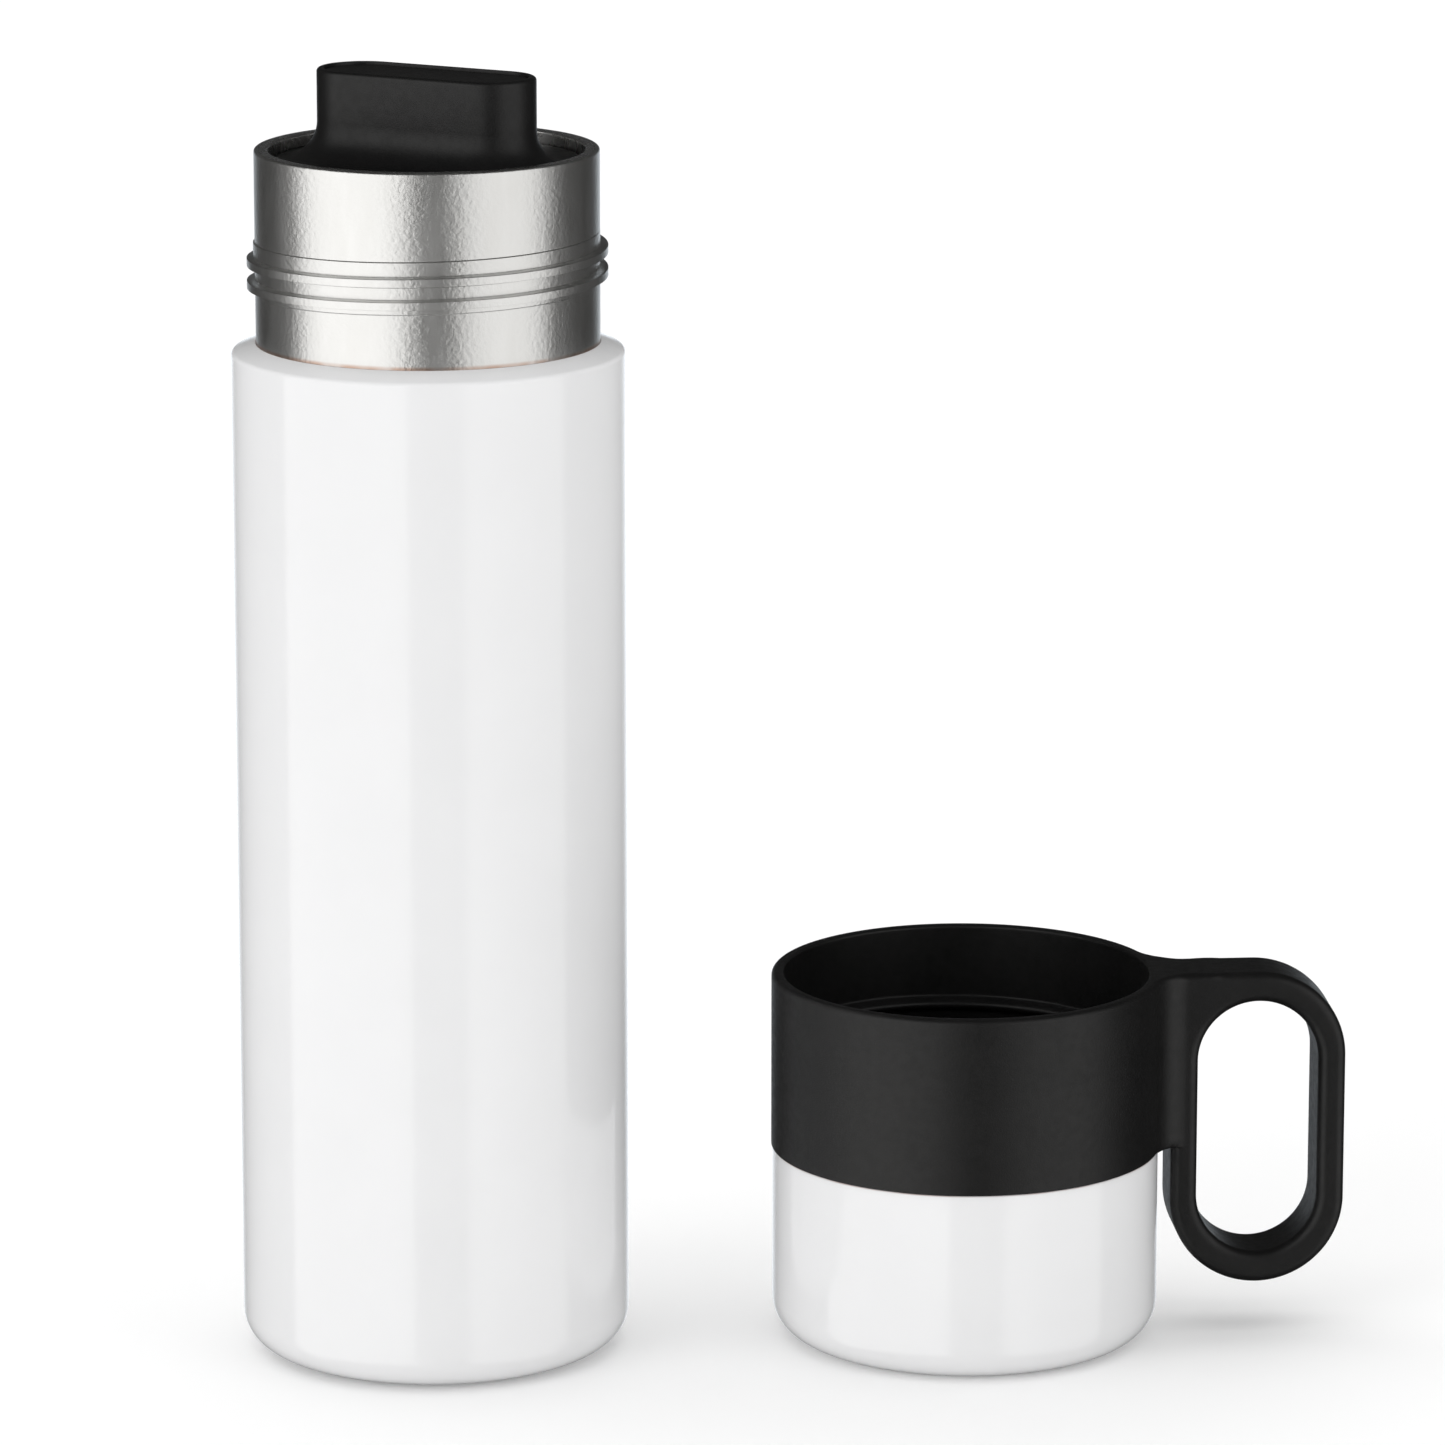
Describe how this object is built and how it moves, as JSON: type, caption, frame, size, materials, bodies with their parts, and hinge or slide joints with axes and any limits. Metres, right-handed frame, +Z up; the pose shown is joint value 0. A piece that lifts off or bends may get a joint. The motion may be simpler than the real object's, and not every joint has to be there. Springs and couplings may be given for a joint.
{
  "type": "vacuum flask",
  "caption": "Slim double-walled steel vacuum flask with a screw stopper and a separate handled drinking cup standing beside it",
  "frame": {"origin": "centre of the flask's foot, on the surface it stands on", "axes": "+Z up along the flask's axis; the cup stands towards +X with its handle pointing away from the flask"},
  "size_m": [0.1947, 0.0743, 0.2259],
  "materials": {
    "white_paint": "glossy white lacquer on steel",
    "satin_steel": "satin stainless steel",
    "bright_steel": "electropolished stainless steel",
    "copper_foil": "bright copper foil",
    "getter_alloy": "dull pressed pellet",
    "seal_glass": "fused glass frit",
    "grey_rubber": "matte",
    "clear_silicone": "translucent grey silicone",
    "black_plastic": "fine satin texture",
    "black_inlay": "fine satin texture",
    "plug_plastic": "satin polypropylene",
    "foam": "expanded foam",
    "liner_plastic": "semi-gloss",
    "white_gloss": "gloss"
  },
  "bodies": {
    "flask": {"outer_shell": "white_paint", "neck_ring": "satin_steel", "inner_vessel": "bright_steel", "inner_bottom": "bright_steel", "radiation_shield": "copper_foil", "getter": "getter_alloy", "getter_clip": "satin_steel", "base_plate": "satin_steel", "vacuum_seal_bead": "seal_glass", "base_cover": "satin_steel", "foot_pad": "grey_rubber"},
    "stopper_seal": {"stopper_gasket": "clear_silicone"},
    "stopper": {"stopper_knob": "black_plastic", "grip_inlay": "black_inlay", "stopper_plug": "plug_plastic", "stopper_insulation": "foam", "stopper_bottom_cap": "plug_plastic"},
    "cup": {"cup_collar": "black_plastic", "cup_liner": "liner_plastic", "cup_shell": "white_gloss"}
  },
  "joints": [
    {"name": "stopper_turn", "type": "hinge", "parent": "stopper_seal", "child": "stopper", "pos_m": [0, 0, 0.183], "axis": [0, 0, 1], "range_deg": [0, 1440]},
    {"name": "stopper_rise", "type": "slide", "parent": "flask", "child": "stopper_seal", "axis": [0, 0, 1], "range_m": [0, 0.04]},
    {"name": "cup_lift", "type": "slide", "parent": "flask", "child": "cup", "axis": [0, 0, 1], "range_m": [0, 0.2]}
  ],
  "couplings": [
    {"joint": "stopper_rise", "follows": "stopper_turn", "m_per_rad": 0.0015915}
  ]
}
